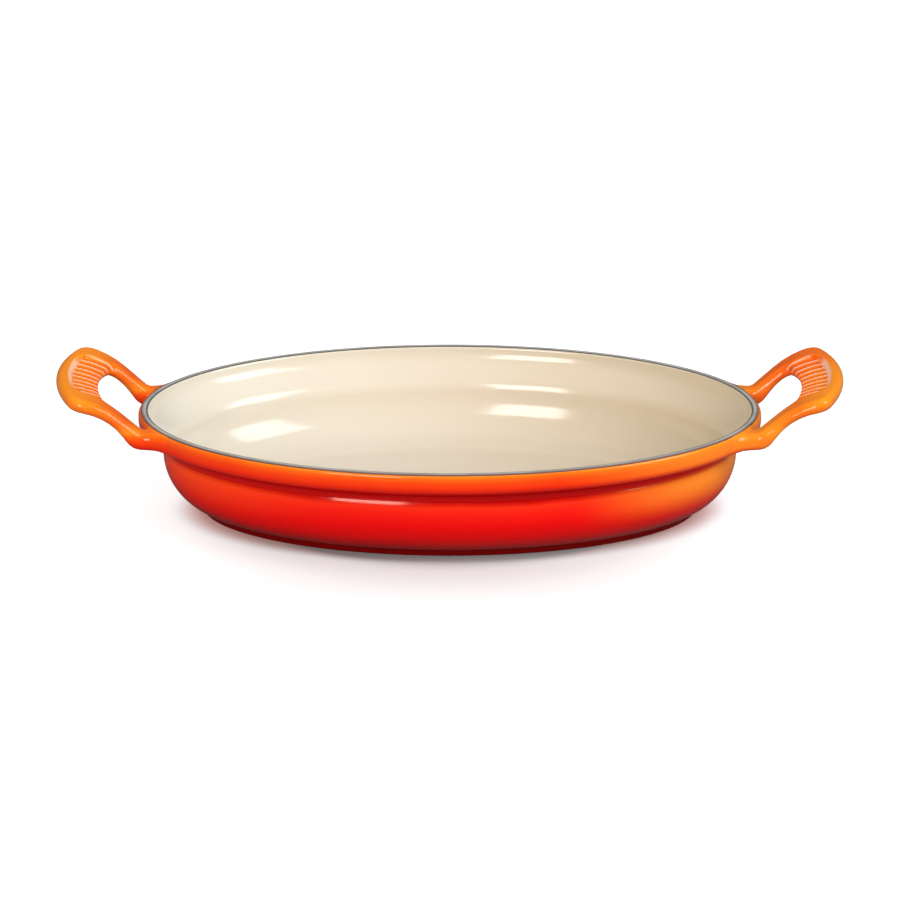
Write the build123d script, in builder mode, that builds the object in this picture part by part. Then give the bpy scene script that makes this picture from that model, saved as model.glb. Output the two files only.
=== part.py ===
from build123d import *
import math
import os

# Oval gratin dish: a shallow bowl, its rim band, its foot ring and two looped
# handles cast in one piece of iron, with coats of enamel fired onto it.
# Millimetres. The origin is the middle of the base, on the table. X runs along
# the dish through both handles, Y across it and Z up.

os.makedirs("parts", exist_ok=True)

# Oval of the rim in plan: two end arcs joined by two long side arcs
rim_length = 320.0
rim_width = 213.6
end_radius = 77.0

# Heights above the table
rim_height = 54.5
neck_level = 38.5
belly_level = 32.5
shoulder_level = 37.0
floor_level = 8.0
foot_height = 3.3

# Wall of the bowl: its thickness, and how far its outside lies inside the rim
wall = 4.6
band_height = 9.9
band_chamfer = 1.8
neck_inset = 11.9
belly_radius = 31.7
lip_height = 6.0

# The two rounds that run all the way round the oval are drawn in flats
belly_flat_count = 4
corner_flat_count = 4

# Foot ring under the base
foot_inset = 32.5
foot_width = 6.5

# Coats of enamel
lining = 0.5
rim_coat = 0.9

# A handle in plan
handle_projection = 42.6
handle_width = 89.6
handle_waist = 16.0
handle_end_radius = 88.0
handle_corner_radius = 13.0
root_fillet = 11.0

# Finger gap between a handle and the rim
grip_width = 21.6
arm_width = 14.5
gap_end_radius = 80.0
gap_corner_radius = 6.0
gap_fillet = 3.5

# A handle from the side: level root, rise, slightly tilted grip
root_drop = 1.1
root_lift = 0.5
root_bond = 3.4
rise_gap = 0.6
rise_run = 22.5
grip_rise = 20.9
grip_tilt = 1.8
grip_thickness = 8.0
rise_foot_radius = 4.0
rise_head_radius = 42.0
hollow_lead = 3.5
hollow_radius = 30.0
handle_chamfer = 2.2

# Thumb rest: a sloping scoop in the top of each grip, fluted along its slope
scoop_border = 7.0
scoop_side = 1.3
scoop_depth = 2.4
scoop_slope = 16.0
scoop_corner_radius = 9.0
flute_count = 10
flute_side = 3.8
flute_radius = 8.0
flute_depth = 0.75

# How far a cutting form runs past what it cuts, and how near counts as touching
overrun = 5.0
touch = 0.01

# Sizes that follow from those above
half_length = rim_length / 2
half_width = rim_width / 2
end_centre = half_length - end_radius
side_radius = (end_centre**2 + half_width**2 - end_radius**2) / (2 * (half_width - end_radius))
side_centre = half_width - side_radius
joint_angle = math.degrees(math.atan2(-side_centre, end_centre))

band_bottom = rim_height - band_height
wall_top = rim_height - rim_coat
inner_inset = neck_inset + wall
corner_radius = belly_level - floor_level
core_inset = inner_inset + corner_radius
lip_level = rim_height - lip_height
flare_angle = math.atan2(inner_inset - wall, lip_level - shoulder_level)
belly_sweep = math.asin((belly_level - foot_height) / belly_radius)

handle_reach = half_length + handle_projection
gap_reach = handle_reach - grip_width
gap_width = handle_width - 2 * arm_width
scoop_width = gap_width - 2 * scoop_side
root_top = rim_height - root_drop
root_bottom = band_bottom + root_lift
root_thickness = root_top - root_bottom
grip_top = rim_height + grip_rise
grip_foot = grip_top - grip_tilt
rise_half_angle = math.atan2(grip_foot - root_top, rise_run) / 2

# A handle narrows from the grip to its root: its sides run straight to the middle of the rim's end arc
side_reach = handle_reach - handle_end_radius + math.sqrt(handle_end_radius**2 - (handle_width / 2) ** 2)
root_half_width = handle_width / 2 - handle_waist

# Each arm stays level to just past the point where the finger gap's fillet leaves the rim
gap_fillet_reach = end_radius + gap_fillet
gap_fillet_run = math.sqrt(gap_fillet_reach**2 - (gap_width / 2 - gap_fillet) ** 2)
gap_start = end_centre + gap_fillet_run * end_radius / gap_fillet_reach
rise_start = gap_start + rise_gap + rise_foot_radius * math.tan(rise_half_angle)
rise_end = rise_start + rise_run

# From the rise outwards the grip climbs a little to its tip
tip_overrun = grip_tilt * overrun / (handle_reach - rise_end)

scoop_reach = handle_reach - scoop_border
scoop_floor = grip_top - scoop_depth
scoop_angle = math.radians(scoop_slope)
flute_angle = scoop_angle + math.atan2(flute_depth, scoop_reach - gap_reach)
flute_fan = math.degrees((scoop_width - 2 * flute_side) / gap_reach)


def draw_oval(inset):
    """The rim's outline moved in by a distance, starting at the tip of the +X end."""
    CenterArc((end_centre, 0), end_radius - inset, 0, joint_angle)
    CenterArc((0, side_centre), side_radius - inset, joint_angle, 180 - 2 * joint_angle)
    CenterArc((-end_centre, 0), end_radius - inset, 180 - joint_angle, 2 * joint_angle)
    CenterArc((0, -side_centre), side_radius - inset, 180 + joint_angle, 180 - 2 * joint_angle)
    CenterArc((end_centre, 0), end_radius - inset, -joint_angle, joint_angle)


def section_point(inset, height):
    """A point of the wall's section, which is drawn at the tip of the +X end."""
    return (half_length - inset, height)


def round_in_flats(centre_inset, radius, sweep, flat_count):
    """Points of a round that starts upright at the belly's level and turns in under it."""
    angles = [sweep * step / flat_count for step in range(flat_count + 1)]
    return [
        section_point(
            centre_inset - radius * math.cos(angle), belly_level - radius * math.sin(angle)
        )
        for angle in angles
    ]


def inside_line(cover):
    """Inside of the bowl from the lip down to the floor, moved into the wall by a cover."""
    mitre = cover * math.tan(flare_angle / 2)
    return [
        section_point(wall - cover, wall_top),
        section_point(wall - cover, lip_level - mitre),
        section_point(inner_inset - cover, shoulder_level - mitre),
        *round_in_flats(core_inset, corner_radius + cover, math.pi / 2, corner_flat_count),
    ]


def outward_arc(centre_x, radius, half_chord):
    """An arc across the X axis that bulges to +X, with its ends at a half chord from it."""
    end_x = centre_x + math.sqrt(radius**2 - half_chord**2)
    ThreePointArc((end_x, -half_chord), (centre_x + radius, 0), (end_x, half_chord))
    return end_x


def stands_clear(edge):
    """Whether the middle of an edge lies outside the rim."""
    along, across = abs((edge @ 0.5).X), abs((edge @ 0.5).Y)
    if (across - side_centre) * end_centre > -side_centre * along:
        return math.hypot(along, across - side_centre) > side_radius + touch
    return math.hypot(along - end_centre, across) > end_radius + touch


def is_root_arc(edge):
    """Whether an arc of the handle's plan is one of the fillets at its root."""
    return abs(edge.radius - root_fillet) < touch and edge.center().X > 0


with BuildLine() as rim_outline:
    draw_oval(0)

# One handle, the one at +X, with a root that reaches into the wall
with BuildSketch() as finger_gap:
    with BuildLine():
        gap_end = outward_arc(gap_reach - gap_end_radius, gap_end_radius, gap_width / 2)
        Polyline(
            (gap_end, gap_width / 2),
            (end_centre, gap_width / 2),
            (end_centre, -gap_width / 2),
            (gap_end, -gap_width / 2),
        )
    make_face()
    with BuildLine():
        draw_oval(0)
    make_face(mode=Mode.SUBTRACT)
    fillet(finger_gap.vertices().sort_by(Axis.X)[-2:], gap_corner_radius)
    offset(amount=-gap_fillet)
    offset(amount=gap_fillet)

with BuildPart() as handle:
    with BuildSketch() as handle_plan:
        with BuildLine():
            outward_arc(handle_reach - handle_end_radius, handle_end_radius, handle_width / 2)
            Polyline(
                (side_reach, handle_width / 2),
                (end_centre, root_half_width),
                (end_centre, -root_half_width),
                (side_reach, -handle_width / 2),
            )
        make_face()
        fillet(handle_plan.vertices().sort_by(Axis.X)[-2:], handle_corner_radius)
        with BuildLine():
            draw_oval(0)
        make_face()
        offset(amount=root_fillet)
        offset(amount=-root_fillet)
        root_arcs = handle_plan.edges().filter_by(GeomType.CIRCLE).filter_by(is_root_arc)
        root_start = root_arcs.vertices().sort_by(Axis.X)[0].X
        add(finger_gap.sketch, mode=Mode.SUBTRACT)
        with BuildLine():
            draw_oval(root_bond)
        make_face(mode=Mode.SUBTRACT)
    extrude(amount=grip_top + overrun)
    with BuildSketch(Plane.XZ):
        with BuildLine():
            top = FilletPolyline(
                (root_start, root_top),
                (rise_start, root_top),
                (rise_end, grip_foot),
                (handle_reach + overrun, grip_top + tip_overrun),
                radius=(rise_foot_radius, rise_head_radius),
            )
            underside = FilletPolyline(
                (root_start, root_bottom),
                (rise_start + root_thickness * math.tan(rise_half_angle), root_bottom),
                (rise_end - hollow_lead, grip_foot - grip_thickness),
                (handle_reach + overrun, grip_top + tip_overrun - grip_thickness),
                radius=(rise_foot_radius + root_thickness, hollow_radius),
            )
            Line(top @ 0, underside @ 0)
            Line(top @ 1, underside @ 1)
        make_face()
    extrude(amount=handle_width, both=True, mode=Mode.INTERSECT)
    with BuildSketch(Plane.XY.offset(root_top)):
        with BuildLine():
            draw_oval(0)
        make_face()
    extrude(amount=grip_top, mode=Mode.SUBTRACT)
    grip_edges = handle.edges().filter_by(Axis.Z, reverse=True).filter_by(Axis.Y, reverse=True)
    chamfer(grip_edges.filter_by(stands_clear), handle_chamfer)

# One flute: a round bar along the floor of the scoop, deepest at the finger gap
with BuildPart() as flute:
    with BuildSketch(
        Plane(
            origin=(scoop_reach, 0, scoop_floor + flute_radius),
            z_dir=(-math.cos(flute_angle), 0, -math.sin(flute_angle)),
        )
    ):
        Circle(flute_radius)
    extrude(amount=grip_width)

with BuildPart() as thumb_rest:
    with BuildSketch() as scoop_plan:
        with BuildLine():
            scoop_end = outward_arc(
                handle_reach - handle_end_radius, handle_end_radius - scoop_border, scoop_width / 2
            )
            Polyline(
                (scoop_end, scoop_width / 2),
                (half_length, scoop_width / 2),
                (half_length, -scoop_width / 2),
                (scoop_end, -scoop_width / 2),
            )
        make_face()
        fillet(scoop_plan.vertices().sort_by(Axis.X)[-2:], scoop_corner_radius)
    extrude(amount=grip_top + overrun)
    with BuildSketch(Plane.XZ):
        with BuildLine():
            drop = (scoop_reach - half_length) * math.tan(scoop_angle)
            Polyline(
                (scoop_reach, scoop_floor),
                (half_length, scoop_floor - drop),
                (half_length, grip_top + overrun),
                (scoop_reach, grip_top + overrun),
                close=True,
            )
        make_face()
    extrude(amount=scoop_width, both=True, mode=Mode.INTERSECT)

with BuildPart() as fluted_handle:
    add(handle.part)
    add(thumb_rest.part, mode=Mode.SUBTRACT)
    with PolarLocations(0, flute_count, -flute_fan / 2, flute_fan, endpoint=True):
        add(flute.part, mode=Mode.SUBTRACT)

# Interior enamel: a thin lining over the wall and floor of the bowl, up to the rim
with BuildPart() as interior_enamel:
    with BuildSketch(Plane.XZ):
        with BuildLine():
            Polyline(*inside_line(0), *reversed(inside_line(lining)), close=True)
        make_face()
    sweep(path=rim_outline.wire())
    with BuildSketch(Plane.XY.offset(floor_level - lining)):
        with BuildLine():
            draw_oval(core_inset)
        make_face()
    extrude(amount=lining)

# Iron casting: bowl wall, base, foot ring and both handles in one piece
with BuildPart() as iron_casting:
    with BuildSketch(Plane.XZ):
        with BuildLine():
            Polyline(
                section_point(0, wall_top),
                section_point(0, band_bottom + band_chamfer),
                section_point(band_chamfer, band_bottom),
                section_point(neck_inset, neck_level),
                *round_in_flats(neck_inset + belly_radius, belly_radius, belly_sweep, belly_flat_count),
                section_point(core_inset, foot_height),
                *reversed(inside_line(lining)),
                close=True,
            )
        make_face()
    sweep(path=rim_outline.wire())
    with BuildSketch(Plane.XY.offset(foot_height)):
        with BuildLine():
            draw_oval(core_inset)
        make_face()
    extrude(amount=floor_level - lining - foot_height)
    with BuildSketch():
        with BuildLine():
            draw_oval(foot_inset)
        make_face()
        with BuildLine():
            draw_oval(foot_inset + foot_width)
        make_face(mode=Mode.SUBTRACT)
    extrude(amount=foot_height)
    for turn in (0, 180):
        add(fluted_handle.part, rotation=(0, 0, turn))

# Rim enamel: the bare ground coat that caps the top of the wall
with BuildPart() as rim_enamel:
    with BuildSketch(Plane.XZ):
        with BuildLine():
            Polyline(
                section_point(0, wall_top),
                section_point(rim_coat, rim_height),
                section_point(wall - rim_coat, rim_height),
                section_point(wall, wall_top),
                close=True,
            )
        make_face()
    sweep(path=rim_outline.wire())

iron_casting.part.label = "iron_casting"
interior_enamel.part.label = "interior_enamel"
rim_enamel.part.label = "rim_enamel"

export_step(iron_casting.part, "parts/iron_casting.step")
export_step(interior_enamel.part, "parts/interior_enamel.step")
export_step(rim_enamel.part, "parts/rim_enamel.step")
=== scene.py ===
import math

import bpy
import numpy as np
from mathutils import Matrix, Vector


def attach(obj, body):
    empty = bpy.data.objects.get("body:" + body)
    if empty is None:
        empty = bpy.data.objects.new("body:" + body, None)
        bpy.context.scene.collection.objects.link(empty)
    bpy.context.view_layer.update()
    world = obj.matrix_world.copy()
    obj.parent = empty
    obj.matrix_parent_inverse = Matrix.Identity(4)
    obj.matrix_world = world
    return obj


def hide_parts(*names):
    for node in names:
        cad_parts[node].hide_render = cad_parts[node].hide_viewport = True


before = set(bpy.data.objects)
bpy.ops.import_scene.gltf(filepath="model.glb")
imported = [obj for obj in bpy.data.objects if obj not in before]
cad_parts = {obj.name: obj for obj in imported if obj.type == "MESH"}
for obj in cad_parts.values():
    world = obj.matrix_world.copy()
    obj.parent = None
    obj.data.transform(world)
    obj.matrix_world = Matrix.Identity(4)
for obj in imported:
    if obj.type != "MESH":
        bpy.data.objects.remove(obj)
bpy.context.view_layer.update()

MM = 0.001

# Sizes in millimetres, as in the solids
RIM_A, RIM_B = 160.0, 106.8
RIM_Z = 54.5
WALL, LINING = 4.6, 0.5
LIP_TOP, LIP_EDGE, LIP_Z = 54.15, 53.2, 48.5
LIP_EASE, LIP_ROUND = 0.25, 0.8
SHOULDER, SHOULDER_Z, FLARE_ROUND = 16.5, 37.0, 9.0
FLOOR_Z, CORNER_R = 8.0, 24.5
CORNER_Z = FLOOR_Z + CORNER_R
FOOT_Z = 3.3
NECK_Z = 38.4
BELLY, BELLY_Z, BELLY_R = 11.9, 32.5, 31.7
TURN_Z, TURN_R, TURN_TILT = 28.5, 16.0, 22.0

# How finely profiles and the oval are divided
ARC_STEP, LEAST_ARC_STEPS = math.radians(9), 3
PROFILE_STEP, FOOT_STEP, CAP_STEP, SIDE_STEP = 1.2, 1.5, 0.5, 0.5
BELLY_POINTS, TURN_POINTS, CORNER_POINTS = 26, 10, 24
RUN, FINE_RUN = 512, 20001
DISC_SHARES = (0.9, 0.78, 0.64, 0.5, 0.36, 0.22, 0.1)
TINY = 1e-6


def smooth(x):
    """Rises smoothly from 0 to 1 over the same range of x."""
    x = np.clip(x, 0.0, 1.0)
    return x * x * (3.0 - 2.0 * x)


# Profiles: lists of (inset from the rim's outline, height)
def corner_round(corner, before, after, radius):
    """Start, end, centre and turn of the arc that rounds a corner."""
    u = (before - corner) / np.linalg.norm(before - corner)
    v = (after - corner) / np.linalg.norm(after - corner)
    half = math.acos(np.clip(np.dot(u, v), -1, 1)) / 2
    reach = radius / math.tan(half)
    centre = corner + (u + v) / np.linalg.norm(u + v) * (radius / math.sin(half))
    return corner + u * reach, corner + v * reach, centre, math.pi - 2 * half


def arc_between(start, end, centre, steps):
    """Points on an arc of less than half a turn, with both its ends."""
    s, e = start - centre, end - centre
    turned = math.atan2(s[0] * e[1] - s[1] * e[0], s @ e) * np.arange(steps + 1) / steps
    c, d = np.cos(turned), np.sin(turned)
    return centre + np.stack([s[0] * c - s[1] * d, s[0] * d + s[1] * c], 1)


def fillet_line(points, radii, step):
    """Closely spaced points along a polyline with its corners rounded."""
    points = [np.array(p, float) for p in points]
    line = [points[0]]
    for before, corner, after, radius in zip(points, points[1:], points[2:], radii):
        start, end, centre, sweep = corner_round(corner, before, after, radius)
        steps = max(LEAST_ARC_STEPS, int(math.ceil(sweep / ARC_STEP)))
        line.extend(arc_between(start, end, centre, steps))
    line.append(points[-1])
    full = [line[0]]
    for point in line[1:]:
        start = full[-1]
        gap = np.linalg.norm(point - start)
        if gap < TINY:
            continue
        steps = max(1, int(gap / step))
        full.extend([start + (point - start) * k / steps for k in range(1, steps + 1)])
    return np.array(full)


def arc_points(cx, cz, r, a0, a1, n):
    """Points of a round, at angles in degrees counted down from its outer side."""
    a = np.radians(np.linspace(a0, a1, n))
    return np.stack([cx - r * np.cos(a), cz - r * np.sin(a)], 1)


# The belly's arc ends under a rounded shoulder
join = math.degrees(math.asin((BELLY_Z - TURN_Z) / BELLY_R))
lowest = math.degrees(math.asin((BELLY_Z - FOOT_Z) / BELLY_R))
belly = arc_points(BELLY + BELLY_R, BELLY_Z, BELLY_R, join, lowest, BELLY_POINTS)
turn_x = belly[0][0] + TURN_R * math.cos(math.radians(join))
turn_z = belly[0][1] + TURN_R * math.sin(math.radians(join))
turn = arc_points(turn_x, turn_z, TURN_R, -TURN_TILT, join, TURN_POINTS)
neck = turn[0][0] + (NECK_Z - turn[0][1]) * math.tan(math.radians(TURN_TILT))

# The band stands out round the rim, and turns under into the neck
BAND_TOP = (2.0, 53.9)
BAND_LINE = [(1.3, 54.42), (0.1, 53.2), (0.0, 50.6), (0.0, 47.6), (0.45, 44.6), (neck, NECK_Z)]
BAND_ROUNDS = [1.6, 4.0, 6.0, 3.6, 3.0]
band = fillet_line([*BAND_LINE, turn[0]], BAND_ROUNDS, PROFILE_STEP)

# The foot ring, and the start of the base inside it
FOOT_LINE = [(32.4, 3.0), (32.5, 0.0), (39.0, 0.0), (39.3, FOOT_Z), (41.0, FOOT_Z)]
FOOT_ROUNDS = [0.4, 0.9, 0.9, 0.4]
foot = fillet_line([belly[-1], *FOOT_LINE], FOOT_ROUNDS, FOOT_STEP)
outer = np.vstack([[BAND_TOP], band, turn[1:], belly[1:], foot[1:]])

# The ground coat on the rim, all round its section
CAP_LINE = [(0.75, 53.6), (0.75, 54.3), (1.2, RIM_Z), (3.7, RIM_Z), (4.25, 54.35), (4.3, 53.6), (0.75, 53.6)]
CAP_ROUNDS = [0.2, 0.5, 0.5, 0.2, 0.1]

# How much lower the flare lies for each millimetre that a profile runs under the lining's face
FLARE_SHARE = 0.4


def inner_profile(cover):
    """Inside of the bowl, at a depth under the lining's face: lip, flare, shoulder and a large round."""
    points = [
        (WALL - LIP_EASE - cover, LIP_TOP),
        (WALL - cover, LIP_EDGE),
        (WALL - cover, LIP_Z - cover * FLARE_SHARE),
        (SHOULDER - cover, SHOULDER_Z - cover * FLARE_SHARE),
        (SHOULDER - cover, CORNER_Z),
    ]
    line = fillet_line(points, [LIP_ROUND, FLARE_ROUND + cover, FLARE_ROUND - cover], PROFILE_STEP)
    corner = arc_points(SHOULDER + CORNER_R, CORNER_Z, CORNER_R + cover, 0, 90, CORNER_POINTS)
    return np.vstack([line, corner[1:]])


# Surfaces swept round the oval
def oval(n=RUN):
    """Evenly spaced points of the rim's outline and its inward normals."""
    fine = np.linspace(0, 2 * math.pi, FINE_RUN)
    ds = np.hypot(RIM_A * np.sin(fine), RIM_B * np.cos(fine))
    s = np.concatenate([[0], np.cumsum((ds[1:] + ds[:-1]) / 2)])
    t = np.interp(np.arange(n) / n * s[-1], s, fine)
    p = np.stack([RIM_A * np.cos(t), RIM_B * np.sin(t)], 1)
    g = np.stack([RIM_B * np.cos(t), RIM_A * np.sin(t)], 1)
    return p, -g / np.linalg.norm(g, axis=1)[:, None]


RIM_P, RIM_N = oval()
THIS = np.arange(RUN)
NEXT = (THIS + 1) % RUN


def ring(inset, z):
    """One ring of points, at an inset from the rim's outline."""
    xy = RIM_P + RIM_N * inset
    return np.column_stack([xy, np.full(len(xy), z)])


def swept(profile, closed=False, centre=None, flip=False):
    """Rings of points for a profile, with quads between them, and a disc of rings to a centre."""
    rings = [ring(d, z) for d, z in profile]
    if centre is not None:
        last = rings[-1]
        rings += [last * np.array([share, share, 1.0]) for share in DISC_SHARES]
    n = len(rings)
    verts = np.vstack(rings)
    faces = []
    for i in range(n) if closed else range(n - 1):
        a, b = i * RUN, (i + 1) % n * RUN
        faces.append(np.stack([a + THIS, b + THIS, b + NEXT, a + NEXT], 1))
    faces = np.vstack(faces)
    tris = np.zeros((0, 3), int)
    if centre is not None:
        verts = np.vstack([verts, [[0, 0, centre]]])
        base = (n - 1) * RUN
        tris = np.stack([base + THIS, np.full(RUN, len(verts) - 1), base + NEXT], 1)
    if flip:
        faces, tris = faces[:, ::-1], tris[:, ::-1]
    return verts, faces, tris


def shell(outside, inside):
    """Two swept surfaces, with a strip that joins their first rings."""
    (v1, q1, t1), (v2, q2, t2) = outside, inside
    base = len(v1)
    strip = np.stack([THIS, NEXT, NEXT + base, THIS + base], 1)
    return np.vstack([v1, v2]), np.vstack([q1, q2 + base, strip]), np.vstack([t1, t2 + base])


def make_object(name, verts, quads, tris, material, slot):
    mesh = bpy.data.meshes.new(name)
    mesh.from_pydata((verts * MM).tolist(), [], quads.tolist() + tris.tolist())
    mesh.validate()
    mesh.polygons.foreach_set("use_smooth", [True] * len(mesh.polygons))
    mesh.update()
    obj = bpy.data.objects.new(name, mesh)
    bpy.context.scene.collection.objects.link(obj)
    mesh.materials.append(material)
    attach(obj, "root")
    return obj


# Distances used to shape the handles
NEWTON_STEPS = 7
FLAT = 1e-9


def oval_distance(x, y):
    """Signed distance to the rim's outline, negative inside."""
    ax, ay = np.abs(x), np.abs(y)
    t = np.arctan2(ay * RIM_A, ax * RIM_B)
    for _ in range(NEWTON_STEPS):
        c, s = np.cos(t), np.sin(t)
        px, py = RIM_A * c, RIM_B * s
        dx, dy = -RIM_A * s, RIM_B * c
        f = (px - ax) * dx + (py - ay) * dy
        g = dx * dx + dy * dy + (px - ax) * -px + (py - ay) * -py
        t = np.clip(t - f / np.where(np.abs(g) < FLAT, FLAT, g), 0, math.pi / 2)
    d = np.hypot(RIM_A * np.cos(t) - ax, RIM_B * np.sin(t) - ay)
    inside = (ax / RIM_A) ** 2 + (ay / RIM_B) ** 2 < 1
    return np.where(inside, -d, d)


def rounded_corner(u, v, r):
    """Overlap of two half spaces with the corner between them rounded."""
    u, v = u + r, v + r
    return np.hypot(np.maximum(u, 0), np.maximum(v, 0)) + np.minimum(np.maximum(u, v), 0) - r


def soft_min(a, b, k):
    """The smaller of two distances, blended where they differ by less than k."""
    h = np.clip(k - np.abs(a - b), 0, None) / k
    return np.minimum(a, b) - h * h * k * 0.25


def soft_max(a, b, k):
    return -soft_min(-a, -b, k)


def line_distance(x, y, start, end):
    d = end - start
    t = ((x - start[0]) * d[0] + (y - start[1]) * d[1]) / max(d @ d, TINY**2)
    t = np.clip(t, 0, 1)
    return np.hypot(x - start[0] - t * d[0], y - start[1] - t * d[1])


def arc_distance(x, y, start, end, centre):
    radius = np.linalg.norm(start - centre)
    middle = (start + end) / 2 - centre
    middle = middle / np.linalg.norm(middle)
    opening = (start - centre) @ middle / radius
    rx, ry = x - centre[0], y - centre[1]
    away = np.hypot(rx, ry)
    within = rx * middle[0] + ry * middle[1] >= opening * away
    ends = np.minimum(np.hypot(x - start[0], y - start[1]), np.hypot(x - end[0], y - end[1]))
    return np.where(within, np.abs(away - radius), ends)


class Outline:
    """A closed outline. Each part is a start and an end, and for an arc also its centre."""

    ARC_STEPS = 16

    def __init__(self, parts):
        self.parts = parts
        points = []
        for part in parts:
            points.extend(arc_between(*part, self.ARC_STEPS)[:-1] if len(part) == 3 else part[:1])
        self.poly = np.array(points)

    def distance(self, x, y):
        """Signed distance, negative inside."""
        best = np.full(np.shape(x), np.inf)
        for part in self.parts:
            measure = arc_distance if len(part) == 3 else line_distance
            best = np.minimum(best, measure(x, y, *part))
        inside = np.zeros(np.shape(x), bool)
        for (x0, y0), (x1, y1) in zip(np.roll(self.poly, 1, axis=0), self.poly):
            if y0 == y1:
                continue
            cross = (y0 > y) != (y1 > y)
            inside ^= cross & (x < (x1 - x0) * (y - y0) / (y1 - y0) + x0)
        return np.where(inside, -best, best)


def rounded_outline(corners, radii):
    """An outline through corners, each rounded by its radius, or sharp where that is 0."""
    points = [np.array(c, float) for c in corners]
    rounds = []
    for before, corner, after, radius in zip(points[-1:] + points, points, points[1:] + points[:1], radii):
        rounds.append(corner_round(corner, before, after, radius)[:3] if radius else (corner, corner))
    parts = []
    for this, following in zip(rounds, rounds[1:] + rounds[:1]):
        if len(this) == 3:
            parts.append(this)
        parts.append((this[1], following[0]))
    return Outline(parts)


def capped_side(cx, radius, side, back, corner):
    """Outline of a plan: an end arc about (cx, 0), straight sides through two points, rounded between."""
    side, back, end_centre = np.array(side), np.array(back), np.array([cx, 0.0])
    d = (back - side) / np.linalg.norm(back - side)
    nrm = np.array([-d[1], d[0]])
    if nrm[1] < 0:
        nrm = -nrm
    # the corner's centre lies a corner's radius inside the side and inside the end arc
    rel = side - nrm * corner - end_centre
    b, c = rel @ d, rel @ rel - (radius - corner) ** 2
    root = math.sqrt(b * b - c)
    centre = max((rel + d * (root - b), rel - d * (root + b)), key=lambda q: q[0]) + end_centre
    on_side = centre + nrm * corner
    out = centre - end_centre
    on_arc = centre + out / np.linalg.norm(out) * corner
    mirror = np.array([1.0, -1.0])
    return Outline([
        (on_arc * mirror, on_arc, end_centre),
        (on_arc, on_side, centre),
        (on_side, back),
        (back, back * mirror),
        (back * mirror, on_side * mirror),
        (on_side * mirror, on_arc * mirror, centre * mirror),
    ])


# A handle in plan: the grip, the finger gap through it and the scoop in its top
REACH, END_R = 202.4, 106.0
END_X = REACH - END_R
GRIP_HALF, ROOT_X, ROOT_HALF, GRIP_CORNER = 46.9, 83.0, 30.0, 9.5
GAP_REACH, GAP_R, GAP_HALF, GAP_CORNER = 180.9, 80.0, 29.3, 4.0
GAP_SIDE_X, GAP_BACK_X = 170.0, 110.0
SCOOP_EDGE, SCOOP_HALF, SCOOP_BACK_HALF, SCOOP_CORNER = 6.6, 31.0, 27.0, 9.0
SCOOP_SIDE_X, SCOOP_BACK_X = 190.0, 140.0
ROOT_FILLET, GAP_FILLET = 9.8, 3.8

side_x = END_X + math.sqrt(END_R**2 - GRIP_HALF**2)
OUTER = capped_side(END_X, END_R, (side_x, GRIP_HALF), (ROOT_X, ROOT_HALF), GRIP_CORNER)
GAP = capped_side(GAP_REACH - GAP_R, GAP_R, (GAP_SIDE_X, GAP_HALF), (GAP_BACK_X, GAP_HALF), GAP_CORNER)
scoop_sides = (SCOOP_SIDE_X, SCOOP_HALF), (SCOOP_BACK_X, SCOOP_BACK_HALF)
SCOOP = capped_side(END_X, END_R - SCOOP_EDGE, *scoop_sides, SCOOP_CORNER)

# The band's section, closed deep inside the wall
DEEP_INSET, UNDER_INSET, UNDER_Z = 30.0, 13.0, 20.0
BAND = rounded_outline(
    [(DEEP_INSET, BAND_TOP[1]), BAND_TOP, *BAND_LINE, (UNDER_INSET, UNDER_Z), (DEEP_INSET, UNDER_Z)],
    [0, 0, 0, *BAND_ROUNDS, 0, 0],
)

# A handle from the side: lines along its top and its underside, smoothed
TOP_LINE = [(110, 53.6), (157.2, 53.6), (180.5, 73.6), (192, 74.5), (212, 75.8)]
TOP_ROUNDS = [3.0, 48.0, 30.0]
LOW_LINE = [(110, 44.6), (161.6, 44.6), (175.8, 65.4), (196, 66.6), (212, 68.0)]
LOW_ROUNDS = [9.0, 33.0, 30.0]
CURVE_X = np.arange(118, 210, 0.25)
SPREAD, SPREAD_STEPS = 0.8, 12


def side_curve(points, radii):
    """Heights along X of a smoothed line."""
    pts = fillet_line(points, radii, SIDE_STEP)
    z = np.interp(CURVE_X, pts[:, 0], pts[:, 1])
    offsets = np.arange(-SPREAD_STEPS, SPREAD_STEPS + 1) * (CURVE_X[1] - CURVE_X[0])
    weights = np.exp(-0.5 * (offsets / SPREAD) ** 2)
    z = np.convolve(np.pad(z, SPREAD_STEPS, mode="edge"), weights / weights.sum(), mode="valid")
    return CURVE_X, z


TOP = side_curve(TOP_LINE, TOP_ROUNDS)
LOW = side_curve(LOW_LINE, LOW_ROUNDS)
COSINE = 1 / np.sqrt(1 + np.gradient((TOP[1] + LOW[1]) / 2, CURVE_X) ** 2)
EDGE = 3.8
BLEND = 2.4

# Where a handle ends in the bowl: depth past the rim's outline, and how the blend's edge sinks under the skin
ROOT_DEPTH = 3.0
CLEARED, CLEAR_OVER = 1.2 * BLEND, 0.8
SINK, SINK_FROM, SINK_OVER = 0.03, 0.7 * BLEND, 0.5 * BLEND

# The fluted thumb rest: its floor falls from the scoop's outer wall, and rolls over at the gap
PITCH = math.radians(1.86)
FLUTE, FLUTE_POWER, FLUTE_FADE = 1.1, 2.4, 3.0
SCOOP_TOP, SCOOP_LENGTH = 72.6, 40.0
FALL_1, FALL_2 = 0.12, 0.0125
SCOOP_ROUND, SCOOP_LIP = 1.4, 0.8


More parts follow.
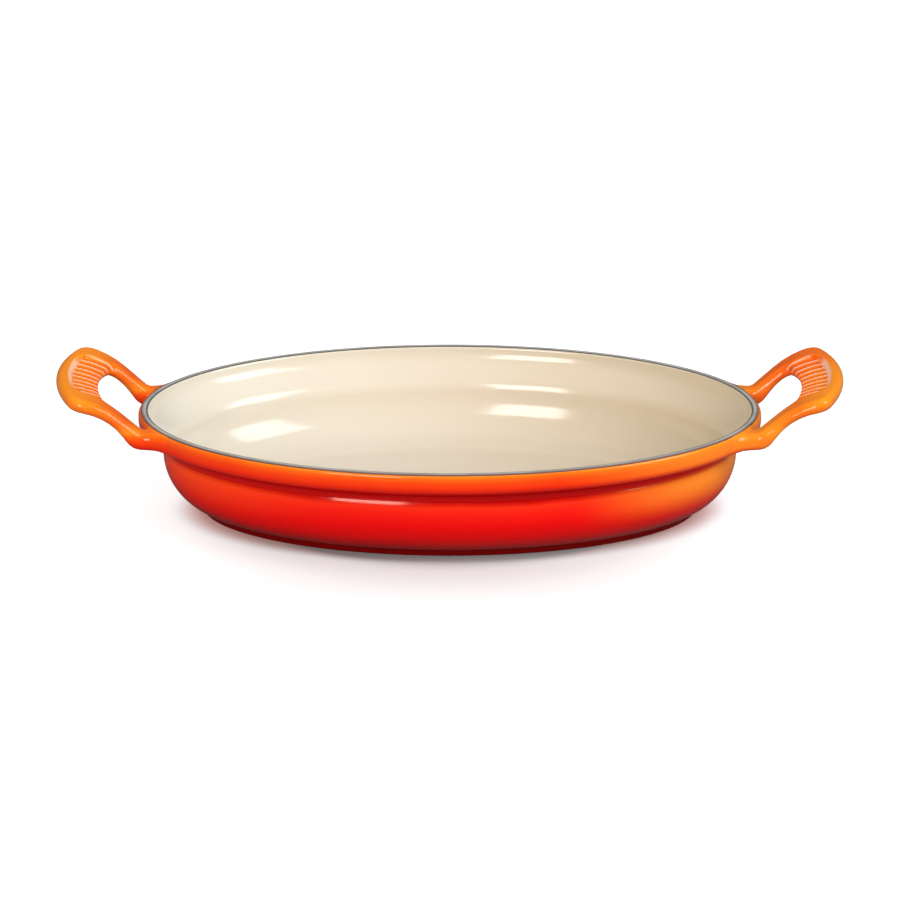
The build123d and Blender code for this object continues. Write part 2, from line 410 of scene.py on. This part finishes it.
def plan_fields(x, y):
    """What depends only on the place in plan: rim, plan and scoop distances, and the scoop's floor."""
    rim = oval_distance(x, y)
    union = -rounded_corner(-OUTER.distance(x, y), -rim, ROOT_FILLET)
    gap = rounded_corner(GAP.distance(x, y), -rim, GAP_FILLET)
    plan = np.maximum(union, -gap)
    # along the bowl, past the fillets, the handle's shape draws back
    plan = plan + CLEARED * smooth(1 - (rim - union) / CLEAR_OVER)
    plan = np.maximum(plan, -(rim + ROOT_DEPTH))
    scoop = SCOOP.distance(x, y)
    phi = np.arctan2(y, x) / PITCH
    ridge = np.abs(2 * (phi - np.floor(phi)) - 1)
    inward = np.clip(END_R - SCOOP_EDGE - np.hypot(x - END_X, y), 0, SCOOP_LENGTH)
    groove = FLUTE * smooth(inward / FLUTE_FADE) * (1 - ridge**FLUTE_POWER)
    return rim, plan, scoop, SCOOP_TOP - FALL_1 * inward - FALL_2 * inward**2 - groove


def handle_shape(plan, slab, scoop, floor, z):
    solid = rounded_corner(plan, slab, EDGE)
    return soft_max(solid, -soft_max(scoop, floor - z, SCOOP_ROUND), SCOOP_LIP)


def joined(handle, body):
    return soft_min(handle, body, BLEND) + SINK * smooth((handle - SINK_FROM) / SINK_OVER)


def fields(x, y, z):
    """Distances to the handle and to the band."""
    rim, plan, scoop, floor = plan_fields(x, y)
    slab = np.maximum(z - np.interp(x, *TOP), np.interp(x, *LOW) - z) * np.interp(x, CURVE_X, COSINE)
    return handle_shape(plan, slab, scoop, floor, z), BAND.distance(-rim, z)


def total(x, y, z):
    return joined(*fields(x, y, z))


def surface_net(values, origin, cell):
    """A mesh of quads on the zero surface of a grid of values, negative inside."""
    shape = tuple(n - 1 for n in values.shape)
    total_p = np.zeros(shape + (3,))
    count = np.zeros(shape)
    inside = values < 0
    crossings = []
    for axis in range(3):
        lo, hi = [slice(None)] * 3, [slice(None)] * 3
        lo[axis], hi[axis] = slice(0, -1), slice(1, None)
        a, b = values[tuple(lo)], values[tuple(hi)]
        hit = inside[tuple(lo)] != inside[tuple(hi)]
        grid = np.stack(np.meshgrid(*[np.arange(s) for s in a.shape], indexing="ij"), -1).astype(float)
        grid[..., axis] += np.where(hit, a / np.where(hit, a - b, 1), 0)
        grid *= hit[..., None]
        others = [k for k in range(3) if k != axis]
        for da in (0, 1):
            for db in (0, 1):
                s = [slice(None)] * 3
                s[others[0]] = slice(da, da + shape[others[0]])
                s[others[1]] = slice(db, db + shape[others[1]])
                total_p += grid[tuple(s)]
                count += hit[tuple(s)]
        crossings.append((axis, others, hit, inside[tuple(lo)]))
    used = count > 0
    index = np.full(shape, -1)
    index[used] = np.arange(used.sum())
    verts = total_p[used] / count[used][:, None] * cell + np.array(origin)
    quads = []
    for axis, (o0, o1), hit, low_inside in crossings:
        i = np.argwhere(hit)
        i = i[(i[:, o0] > 0) & (i[:, o1] > 0) & (i[:, o0] < shape[o0]) & (i[:, o1] < shape[o1])]
        corners = []
        for d0, d1 in ((-1, -1), (0, -1), (0, 0), (-1, 0)):
            j = i.copy()
            j[:, o0] += d0
            j[:, o1] += d1
            corners.append(index[tuple(j.T)])
        q = np.stack(corners, 1)
        out = low_inside[tuple(i.T)]
        if axis == 1:
            out = ~out
        q[~out] = q[~out][:, ::-1]
        quads.append(q)
    return verts, np.vstack(quads)


# The box that the handle's grid fills, and the table of the band's distances
GRID_X, GRID_Y, GRID_Z = (128.0, 204.6), (-66.0, 66.0), (38.5, 77.5)
TABLE_STEP = 0.25
TABLE_INSET, TABLE_Z = (-48, 60), (38, 79)

# What is kept of the handle's surface: near the handle, and not deep in the bowl
KEEP_NEAR, KEEP_X, KEEP_BAND, KEEP_RIM = 1.25 * BLEND, 129.0, -1.2, -1.0
EPS, STEEP = 0.02, 0.25
SETTLE_STEPS, EVEN_STEPS = 5, 3
MOST_MOVE, EVEN_SHARE, EVEN_LINKS = 0.5, 0.5, 8


def grid_values(x, y, z):
    """The joined distance on a grid, with the band's part read from a table for speed."""
    gx, gy = np.meshgrid(x, y, indexing="ij")
    rim, plan, scoop, floor = (np.repeat(p[:, :, None], len(z), axis=2) for p in plan_fields(gx, gy))
    gz = np.broadcast_to(z[None, None, :], rim.shape)
    insets, heights = np.arange(*TABLE_INSET, TABLE_STEP), np.arange(*TABLE_Z, TABLE_STEP)
    table = BAND.distance(*np.meshgrid(insets, heights, indexing="ij"))
    i = np.clip(((-rim - TABLE_INSET[0]) / TABLE_STEP).astype(int), 0, len(insets) - 1)
    j = np.clip(((gz - TABLE_Z[0]) / TABLE_STEP).astype(int), 0, len(heights) - 1)
    top, low, cosine = (np.interp(x, CURVE_X, c)[:, None, None] for c in (TOP[1], LOW[1], COSINE))
    slab = np.maximum(gz - top, low - gz) * cosine
    return joined(handle_shape(plan, slab, scoop, floor, gz), table[i, j])


def settled(verts, quads, cell):
    """The points moved onto the exact surface, and in the first steps evened out along it."""
    for step in range(SETTLE_STEPS):
        f = total(*verts.T)
        g = np.stack([total(*(verts + e).T) - f for e in np.eye(3) * EPS], 1) / EPS
        move = f[:, None] * g / np.maximum((g * g).sum(1), STEEP)[:, None]
        size = np.linalg.norm(move, axis=1)
        verts = verts - move * np.minimum(1, MOST_MOVE * cell / np.maximum(size, FLAT))[:, None]
        if step >= EVEN_STEPS:
            continue
        mean = np.zeros_like(verts)
        links = np.zeros(len(verts))
        for a, c in ((0, 1), (1, 2), (2, 3), (3, 0)):
            for s, e in ((a, c), (c, a)):
                np.add.at(mean, quads[:, s], verts[quads[:, e]])
                np.add.at(links, quads[:, s], 1)
        mean /= np.maximum(links, 1)[:, None]
        n = g / np.maximum(np.linalg.norm(g, axis=1), FLAT)[:, None]
        d = mean - verts
        d -= n * (d * n).sum(1)[:, None]
        verts = verts + EVEN_SHARE * d * (links >= EVEN_LINKS)[:, None]
    return verts


def handle_mesh(cell):
    """The handle at +X as a mesh: only what it adds to the bowl."""
    x, z = np.arange(*GRID_X, cell), np.arange(*GRID_Z, cell)
    y = np.arange(GRID_Y[0], GRID_Y[1] + cell, cell)
    verts, quads = surface_net(grid_values(x, y, z), (x[0], y[0], z[0]), cell)
    handle, body = fields(*verts.T)
    keep = (handle < KEEP_NEAR) & (verts[:, 0] > KEEP_X) & (body > KEEP_BAND)
    keep &= oval_distance(verts[:, 0], verts[:, 1]) > KEEP_RIM
    quads = quads[keep[quads].all(1)]
    used = np.zeros(len(verts), bool)
    used[quads.ravel()] = True
    verts, quads = verts[used], (np.cumsum(used) - 1)[quads]
    return settled(verts, quads, cell), quads


# Material helpers
def linear(*srgb):
    """A colour written in sRGB from 0 to 255, as a linear one."""
    shares = [v / 255.0 for v in srgb]
    return tuple(v / 12.92 if v <= 0.04045 else ((v + 0.055) / 1.055) ** 2.4 for v in shares) + (1.0,)


def new_material(name):
    mat = bpy.data.materials.new(name)
    mat.use_nodes = True
    nt = mat.node_tree
    coord = nt.nodes.new("ShaderNodeTexCoord")
    return mat, nt, nt.nodes["Principled BSDF"], coord.outputs["Object"]


def noise(nt, vector, scale, detail=3.0, rough=0.55):
    n = nt.nodes.new("ShaderNodeTexNoise")
    n.inputs["Scale"].default_value = scale
    n.inputs["Detail"].default_value = detail
    n.inputs["Roughness"].default_value = rough
    nt.links.new(vector, n.inputs["Vector"])
    return n.outputs["Fac"]


def put(nt, socket, value):
    """Links an output to a socket, or sets a plain value on it."""
    if isinstance(value, (int, float, tuple)):
        socket.default_value = value
    else:
        nt.links.new(value, socket)


def math_node(nt, op, *values):
    n = nt.nodes.new("ShaderNodeMath")
    n.operation = op
    for i, v in enumerate(values):
        put(nt, n.inputs[i], v)
    return n.outputs[0]


def product(nt, *values):
    out = values[0]
    for value in values[1:]:
        out = math_node(nt, "MULTIPLY", out, value)
    return out


def length(nt, u, v):
    """Length of a vector with two components."""
    return math_node(nt, "SQRT", math_node(nt, "MULTIPLY_ADD", u, u, product(nt, v, v)))


def span(nt, value, lo, hi, out_lo=0.0, out_hi=1.0, kind="SMOOTHSTEP"):
    """Goes from one output to the other while the value goes from lo to hi."""
    n = nt.nodes.new("ShaderNodeMapRange")
    n.interpolation_type = kind
    for i, v in enumerate((value, lo, hi, out_lo, out_hi)):
        put(nt, n.inputs[i], v)
    return n.outputs[0]


def ramp(nt, value, stops):
    n = nt.nodes.new("ShaderNodeValToRGB")
    cr = n.color_ramp
    while len(cr.elements) < len(stops):
        cr.elements.new(0.5)
    for e, (pos, col) in zip(cr.elements, stops):
        e.position = pos
        e.color = col
    nt.links.new(value, n.inputs[0])
    return n.outputs[0]


def mix(nt, factor, a, b):
    n = nt.nodes.new("ShaderNodeMix")
    n.data_type = "RGBA"
    for sock, v in ((n.inputs[0], factor), (n.inputs[6], a), (n.inputs[7], b)):
        put(nt, sock, v)
    return n.outputs[2]


def bump(nt, bsdf, layers):
    """Adds bump layers, each (height, strength, distance in metres)."""
    last = None
    for height, strength, distance in layers:
        b = nt.nodes.new("ShaderNodeBump")
        b.inputs["Strength"].default_value = strength
        b.inputs["Distance"].default_value = distance
        nt.links.new(height, b.inputs["Height"])
        if last is not None:
            nt.links.new(last, b.inputs["Normal"])
        last = b.outputs["Normal"]
    nt.links.new(last, bsdf.inputs["Normal"])


def xyz(nt, vector):
    n = nt.nodes.new("ShaderNodeSeparateXYZ")
    nt.links.new(vector, n.inputs[0])
    return n.outputs


def oval_node(nt, place, half_x, half_y, centre_y):
    """Distance from an oval's centre, as a share of the way to its edge."""
    along = math_node(nt, "DIVIDE", place[0], half_x)
    return length(nt, along, math_node(nt, "DIVIDE", math_node(nt, "SUBTRACT", place[1], centre_y), half_y))


def inset_node(nt, place):
    """Distance in metres inward from the rim's outline."""
    u = math_node(nt, "DIVIDE", place[0], RIM_A * MM)
    v = math_node(nt, "DIVIDE", place[1], RIM_B * MM)
    f = length(nt, u, v)
    g = length(nt, math_node(nt, "DIVIDE", u, RIM_A * MM), math_node(nt, "DIVIDE", v, RIM_B * MM))
    return math_node(nt, "DIVIDE", product(nt, math_node(nt, "SUBTRACT", 1.0, f), f), g)


# Where the thumb rest's painted highlights and shade fade, in metres: from its middle, in height and inward
# from its outer wall
REST_HALF, REST_LEVEL, REST_LENGTH = (0.0285, 0.0315), (0.0645, 0.0665), (0.016, 0.0185)
FLUTES_START = (0.0006, 0.002)
WALL_START, WALL_END, WALL_HALF, WALL_HIGHLIGHT_TINT = (-0.0008, 0.0), (0.0006, 0.0022), (0.016, 0.026), 0.75
GROOVE, GROOVE_SHADE_TINT, GROOVE_SHADE_TONE = (0.3, 0.75), 0.55, (226, 84, 22)
CREST, CREST_HIGHLIGHT_TINT, CREST_HIGHLIGHT_TONE = (0.74, 0.98), 0.85, (255, 216, 192)


def thumb_rest_light(nt, place, tone):
    """Painted highlights pale the crests of the flutes and the scoop's outer wall; painted shade darkens the
    grooves between the flutes.
    """
    x, y, z = place
    across, beside = math_node(nt, "ABSOLUTE", x), math_node(nt, "ABSOLUTE", y)
    phi = math_node(nt, "DIVIDE", math_node(nt, "ARCTAN2", y, across), PITCH)
    ridge = math_node(nt, "ABSOLUTE", math_node(nt, "MULTIPLY_ADD", math_node(nt, "FRACT", phi), 2.0, -1.0))
    out = length(nt, math_node(nt, "SUBTRACT", across, END_X * MM), y)
    inward = math_node(nt, "SUBTRACT", (END_R - SCOOP_EDGE) * MM, out)
    area = product(
        nt,
        span(nt, beside, *REST_HALF, 1.0, 0.0),
        span(nt, z, *REST_LEVEL),
        span(nt, inward, *REST_LENGTH, 1.0, 0.0),
    )
    inner = product(nt, area, span(nt, inward, *FLUTES_START))
    # painted highlight along the scoop's outer wall
    wall = product(
        nt,
        area,
        span(nt, inward, *WALL_START),
        span(nt, inward, *WALL_END, WALL_HIGHLIGHT_TINT, 0.0),
        span(nt, beside, *WALL_HALF, 1.0, 0.0),
    )
    # painted shade in the grooves, painted highlight on the crests
    groove = product(nt, inner, span(nt, ridge, *GROOVE, GROOVE_SHADE_TINT, 0.0))
    crest_highlight = product(nt, inner, span(nt, ridge, *CREST, 0.0, CREST_HIGHLIGHT_TINT))
    tone = mix(nt, groove, tone, linear(*GROOVE_SHADE_TONE))
    return mix(nt, math_node(nt, "MAXIMUM", crest_highlight, wall), tone, linear(*CREST_HIGHLIGHT_TONE))


# Colours of the outside by height in millimetres; the darker stops from 35.5 to 42.5 are painted shade in the
# neck under the band
OUTSIDE_TONES = (
    (2.0, (112, 0, 0)),
    (7.0, (175, 0, 1)),
    (14.0, (223, 0, 1)),
    (22.0, (241, 0, 3)),
    (29.0, (250, 24, 11)),
    (32.8, (252, 44, 16)),
    (35.5, (202, 2, 2)),
    (38.0, (186, 0, 1)),
    (42.5, (196, 4, 2)),
    (46.0, (232, 36, 5)),
    (50.0, (244, 66, 10)),
    (52.5, (252, 98, 14)),
    (54.3, (252, 132, 28)),
    (60.0, (242, 98, 20)),
    (68.0, (247, 118, 24)),
    (74.0, (255, 148, 30)),
)
RAMP_TOP = 76.0
CLOUD_SCALE, CLOUD_SHIFT = 22.0, 0.003

# Painted light: the belly is lighter and more orange towards both ends, far more towards +X, and so is the
# band towards +X, where the lamps fall on them
LIT_END_TONE, LIT_BAND_TONE, ARM_TONE = (255, 150, 40), (255, 158, 40), (244, 78, 16)
LIT_END, LIT_END_TINT = (0.06, 0.14), 0.85
LIT_FAR_END, LIT_FAR_TINT = (-0.14, -0.06), 0.12
LIT_LOW, LIT_TOP = (0.013, 0.031), (0.0335, 0.0372)
LIT_BAND, LIT_BAND_END, LIT_BAND_TINT, LIT_BAND_LOW = (0.05, 0.14), (0.165, 0.18), 0.55, (0.0435, 0.048)
FAR_ARM_X, FAR_ARM_Y, ARM_TINT = (0.15, 0.165), (0.0, 0.03), 0.55


def outside_enamel():
    """Orange at the rim and grips, red below, dark red at the foot."""
    mat, nt, bsdf, co = new_material("outside_enamel")
    place = xyz(nt, co)
    shift = math_node(nt, "MULTIPLY_ADD", noise(nt, co, CLOUD_SCALE), CLOUD_SHIFT, -CLOUD_SHIFT / 2)
    height = span(nt, math_node(nt, "ADD", place[2], shift), 0.0, RAMP_TOP * MM, kind="LINEAR")
    tone = ramp(nt, height, [(z / RAMP_TOP, linear(*c)) for z, c in OUTSIDE_TONES])
    # painted light on the lit ends of the belly, and below on the band
    near_end_light = span(nt, place[0], *LIT_END, 0.0, LIT_END_TINT)
    far_end_light = span(nt, place[0], *LIT_FAR_END, LIT_FAR_TINT, 0.0)
    ends = math_node(nt, "ADD", near_end_light, far_end_light)
    ends = product(nt, ends, span(nt, place[2], *LIT_LOW), span(nt, place[2], *LIT_TOP, 1.0, 0.0))
    tone = mix(nt, ends, tone, linear(*LIT_END_TONE))
    band_light = product(
        nt,
        span(nt, place[0], *LIT_BAND),
        span(nt, place[0], *LIT_BAND_END, LIT_BAND_TINT, 0.0),
        span(nt, place[2], *LIT_BAND_LOW),
    )
    tone = mix(nt, band_light, tone, linear(*LIT_BAND_TONE))
    arm = product(nt, span(nt, place[0], *FAR_ARM_X, 0.0, ARM_TINT), span(nt, place[1], *FAR_ARM_Y))
    tone = thumb_rest_light(nt, place, mix(nt, arm, tone, linear(*ARM_TONE)))
    nt.links.new(tone, bsdf.inputs["Base Color"])
    bsdf.inputs["Roughness"].default_value = 0.12
    bsdf.inputs["IOR"].default_value = 1.5
    bsdf.inputs["Specular IOR Level"].default_value = 0.5
    bsdf.inputs["Specular Tint"].default_value = (1.0, 0.68, 0.58, 1.0)
    bump(nt, bsdf, [(noise(nt, co, 70.0, 2.0), 0.25, 0.00012), (noise(nt, co, 420.0, 2.0), 0.12, 0.00002)])
    return mat


# Colours of the lining from the left end of the bowl to the right: cream, with painted shade making it darker
# and deeper towards the right, where that wall gets less light
LINING_TONES_AND_SHADE = (219, 211, 195), (214, 201, 182), (206, 188, 160)
LINING_ENDS = (-0.14, 0.14)
LINING_CLOUD_SCALE, LINING_SHIFT = 9.0, 0.3


def cream_enamel():
    """Cream, with painted shade that makes it darker and deeper towards one end."""
    mat, nt, bsdf, co = new_material("cream_enamel")
    shift = math_node(nt, "MULTIPLY_ADD", noise(nt, co, LINING_CLOUD_SCALE), LINING_SHIFT, -LINING_SHIFT / 2)
    along = math_node(nt, "ADD", span(nt, xyz(nt, co)[0], *LINING_ENDS, kind="LINEAR"), shift)
    last = len(LINING_TONES_AND_SHADE) - 1
    tone = ramp(nt, along, [(i / last, linear(*c)) for i, c in enumerate(LINING_TONES_AND_SHADE)])
    nt.links.new(tone, bsdf.inputs["Base Color"])
    bsdf.inputs["Roughness"].default_value = 0.14
    bsdf.inputs["IOR"].default_value = 1.5
    bsdf.inputs["Specular IOR Level"].default_value = 0.5
    bump(nt, bsdf, [(noise(nt, co, 60.0, 2.0), 0.25, 0.00014), (noise(nt, co, 380.0, 2.0), 0.12, 0.00002)])
    return mat


# Colours of the ground coat by millimetres inward from the rim's outline
RIM_TONES = (
    (0.8, (106, 72, 64)),
    (1.5, (140, 124, 120)),
    (2.2, (184, 180, 176)),
    (3.0, (186, 186, 182)),
    (3.5, (132, 134, 129)),
    (4.0, (70, 74, 68)),
)
RIM_RAMP = 5.0
SPECK_SCALE, SPECK_SHIFT = 900.0, 0.0008
STAIN_SCALE, STAIN, STAIN_TINT, STAIN_TONE = 60.0, (0.35, 0.65), 0.35, (104, 98, 94)


def rim_ground_coat():
    """Bare matt ground coat on the rim."""
    mat, nt, bsdf, co = new_material("rim_ground_coat")
    speck = noise(nt, co, SPECK_SCALE, 4.0, 0.7)
    shift = math_node(nt, "MULTIPLY_ADD", speck, SPECK_SHIFT, -SPECK_SHIFT / 2)
    inset = math_node(nt, "ADD", inset_node(nt, xyz(nt, co)), shift)
    across = span(nt, inset, 0.0, RIM_RAMP * MM, kind="LINEAR")
    tone = ramp(nt, across, [(d / RIM_RAMP, linear(*c)) for d, c in RIM_TONES])
    stain = span(nt, noise(nt, co, STAIN_SCALE), *STAIN, 0.0, STAIN_TINT)
    nt.links.new(mix(nt, stain, tone, linear(*STAIN_TONE)), bsdf.inputs["Base Color"])
    bsdf.inputs["Roughness"].default_value = 0.48
    bsdf.inputs["Specular IOR Level"].default_value = 0.4
    bump(nt, bsdf, [(speck, 0.5, 0.00012)])
    return mat


# The dish
HANDLE_CELL, QUICK_CELL = 0.6, 1.0
LINING_SLACK = 0.04


def make_body():
    """The casting's outside and inside, with both handles."""
    inside = swept(inner_profile(LINING), centre=FLOOR_Z - LINING, flip=True)
    verts, quads, tris = shell(swept(outer, centre=FOOT_Z), inside)
    handle, faces = handle_mesh(HANDLE_CELL)
    # the other handle is the same one turned half round
    turned = handle * np.array([-1.0, -1.0, 1.0])
    base = len(verts)
    quads = np.vstack([quads, faces + base, faces + base + len(handle)])
    verts = np.vstack([verts, handle, turned])
    body = make_object("iron_body", verts, quads, tris, outside_enamel(), "enamelled_iron")
    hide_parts("iron_casting")


def make_lining():
    """The lining's face, and its back a little above the casting."""
    depth = LINING - LINING_SLACK
    face = swept(inner_profile(0.0), centre=FLOOR_Z, flip=True)
    verts, quads, tris = shell(swept(inner_profile(depth), centre=FLOOR_Z - depth), face)
    lining = make_object("cream_lining", verts, quads, tris, cream_enamel(), "cream_enamel")
    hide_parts("interior_enamel")


def make_rim():
    cap = fillet_line(CAP_LINE, CAP_ROUNDS, CAP_STEP)
    surface = swept(cap[:-1], closed=True, flip=True)
    rim = make_object("dark_rim", *surface, rim_ground_coat(), "rim_ground_coat")
    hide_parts("rim_enamel")


make_body()
make_lining()
make_rim()


# Floor, light and camera
WHITE = (1.0, 1.0, 1.0, 1.0)
FLOOR_SIZE = 12.0
FLOOR_TONE, FLOOR_MIRRORED = 0.45, 0.16
SKY, SKY_MIRRORED = 0.38, 0.08

# The paper's glow for the camera, from the front to behind the dish, in metres
FLOOR_GLOW, GLOW_Y = (0.54, 0.78), (-0.13, -0.03)
# Ovals of shade by half sizes and centre: a soft one, and the line where the foot stands
SHADE_OVAL, FOOT_OVAL = (0.15, 0.115, -0.025), (0.124, 0.074, 0.0)
# What each shade takes from the glow, and the shares of its oval over which it fades
SHADES = (
    (SHADE_OVAL, 0.23, (0.6, 1.06)),
    (SHADE_OVAL, 0.2, (0.5, 0.64)),
    (FOOT_OVAL, 0.4, (1.0, 1.2)),
)
# Painted red bounce light from the dish: the floor's glow turns red along the line where the foot stands
FOOT_RED_BOUNCE, FOOT_RED_BOUNCE_SPAN = (1.0, 0.3, 0.24, 1.0), (1.0, 1.16)

# Each lamp: azimuth, elevation, distance, width, height, power and tint
LAMPS = {
    "softbox_left": (-22, 21, 4.4, 1.5, 2.2, 118, (1.0, 0.97, 0.93)),
    "softbox_right": (66, 30, 4.4, 2.1, 2.8, 126, (0.95, 0.98, 1.0)),
    "overhead": (10, 78, 4.8, 3.2, 3.2, 58, (1.0, 1.0, 1.0)),
}
LAMPS_AIM = (0.0, 0.0, 0.03)

CAMERA_ELEVATION, CAMERA_DISTANCE, CAMERA_AIM = 18.98, 3.0, (0.0001, 0.0, 0.03137)
FOCAL_PIXELS, FRAME_PIXELS, SENSOR_MM = 5803.0, 900.0, 36.0
scene = bpy.context.scene


def ray_kind(nt, kind):
    """One for rays of a kind, zero for the others."""
    return nt.nodes.new("ShaderNodeLightPath").outputs[kind]


def floor_paper():
    """White paper for the camera, a little shaded close to the dish, and darker where mirrored."""
    mat, nt, bsdf, co = new_material("floor_paper")
    plain, dark = (FLOOR_TONE,) * 3 + (1.0,), (FLOOR_MIRRORED,) * 3 + (1.0,)
    nt.links.new(mix(nt, ray_kind(nt, "Is Glossy Ray"), plain, dark), bsdf.inputs["Base Color"])
    bsdf.inputs["Roughness"].default_value = 0.9
    bsdf.inputs["Specular IOR Level"].default_value = 0.0
    place = xyz(nt, co)
    glow = span(nt, place[1], *GLOW_Y, *FLOOR_GLOW)
    for oval_sizes, most, fade in SHADES:
        glow = math_node(nt, "SUBTRACT", glow, span(nt, oval_node(nt, place, *oval_sizes), *fade, most, 0.0))
    glow = math_node(nt, "MAXIMUM", glow, 0.0)
    # painted red bounce light inside the foot's oval
    open_floor = span(nt, oval_node(nt, place, *FOOT_OVAL), *FOOT_RED_BOUNCE_SPAN)
    nt.links.new(mix(nt, open_floor, FOOT_RED_BOUNCE, WHITE), bsdf.inputs["Emission Color"])
    nt.links.new(product(nt, ray_kind(nt, "Is Camera Ray"), glow), bsdf.inputs["Emission Strength"])
    return mat


def make_floor():
    mesh = bpy.data.meshes.new("floor")
    s = FLOOR_SIZE / 2
    mesh.from_pydata([(-s, -s, 0), (s, -s, 0), (s, s, 0), (-s, s, 0)], [], [(0, 1, 2, 3)])
    floor = bpy.data.objects.new("floor", mesh)
    scene.collection.objects.link(floor)
    mesh.materials.append(floor_paper())


def make_sky():
    """An even white sky, darker where mirrored."""
    world = bpy.data.worlds.new("studio")
    scene.world = world
    world.use_nodes = True
    nt = world.node_tree
    background = nt.nodes["Background"]
    background.inputs["Color"].default_value = WHITE
    strength = span(nt, ray_kind(nt, "Is Glossy Ray"), 0.0, 1.0, SKY, SKY_MIRRORED)
    nt.links.new(strength, background.inputs["Strength"])


def softbox(name, azimuth, elevation, distance, width, height, power, tint):
    """An area lamp at an azimuth from the camera, positive to its right, that faces the dish."""
    lamp = bpy.data.lights.new(name, "AREA")
    lamp.shape = "RECTANGLE"
    lamp.size, lamp.size_y = width, height
    lamp.energy = power
    lamp.color = tint
    obj = bpy.data.objects.new(name, lamp)
    a, e = math.radians(azimuth), math.radians(elevation)
    way = Vector((math.sin(a) * math.cos(e), -math.cos(a) * math.cos(e), math.sin(e)))
    obj.location = Vector(LAMPS_AIM) + way * distance
    obj.rotation_euler = (-way).to_track_quat("-Z", "Y").to_euler()
    scene.collection.objects.link(obj)
    return obj


def make_camera():
    data = bpy.data.cameras.new("camera")
    data.sensor_width = SENSOR_MM
    data.lens = FOCAL_PIXELS / FRAME_PIXELS * SENSOR_MM
    data.clip_end = 100
    camera = bpy.data.objects.new("camera", data)
    elevation = math.radians(CAMERA_ELEVATION)
    away = Vector((0.0, -math.cos(elevation), math.sin(elevation)))
    camera.location = Vector(CAMERA_AIM) + away * CAMERA_DISTANCE
    camera.rotation_euler = (-away).to_track_quat("-Z", "Y").to_euler()
    scene.collection.objects.link(camera)
    scene.camera = camera


make_floor()
make_sky()
lamps = {name: softbox(name, *settings) for name, settings in LAMPS.items()}
lamps["overhead"].visible_glossy = False
make_camera()
scene.view_settings.view_transform = "Standard"
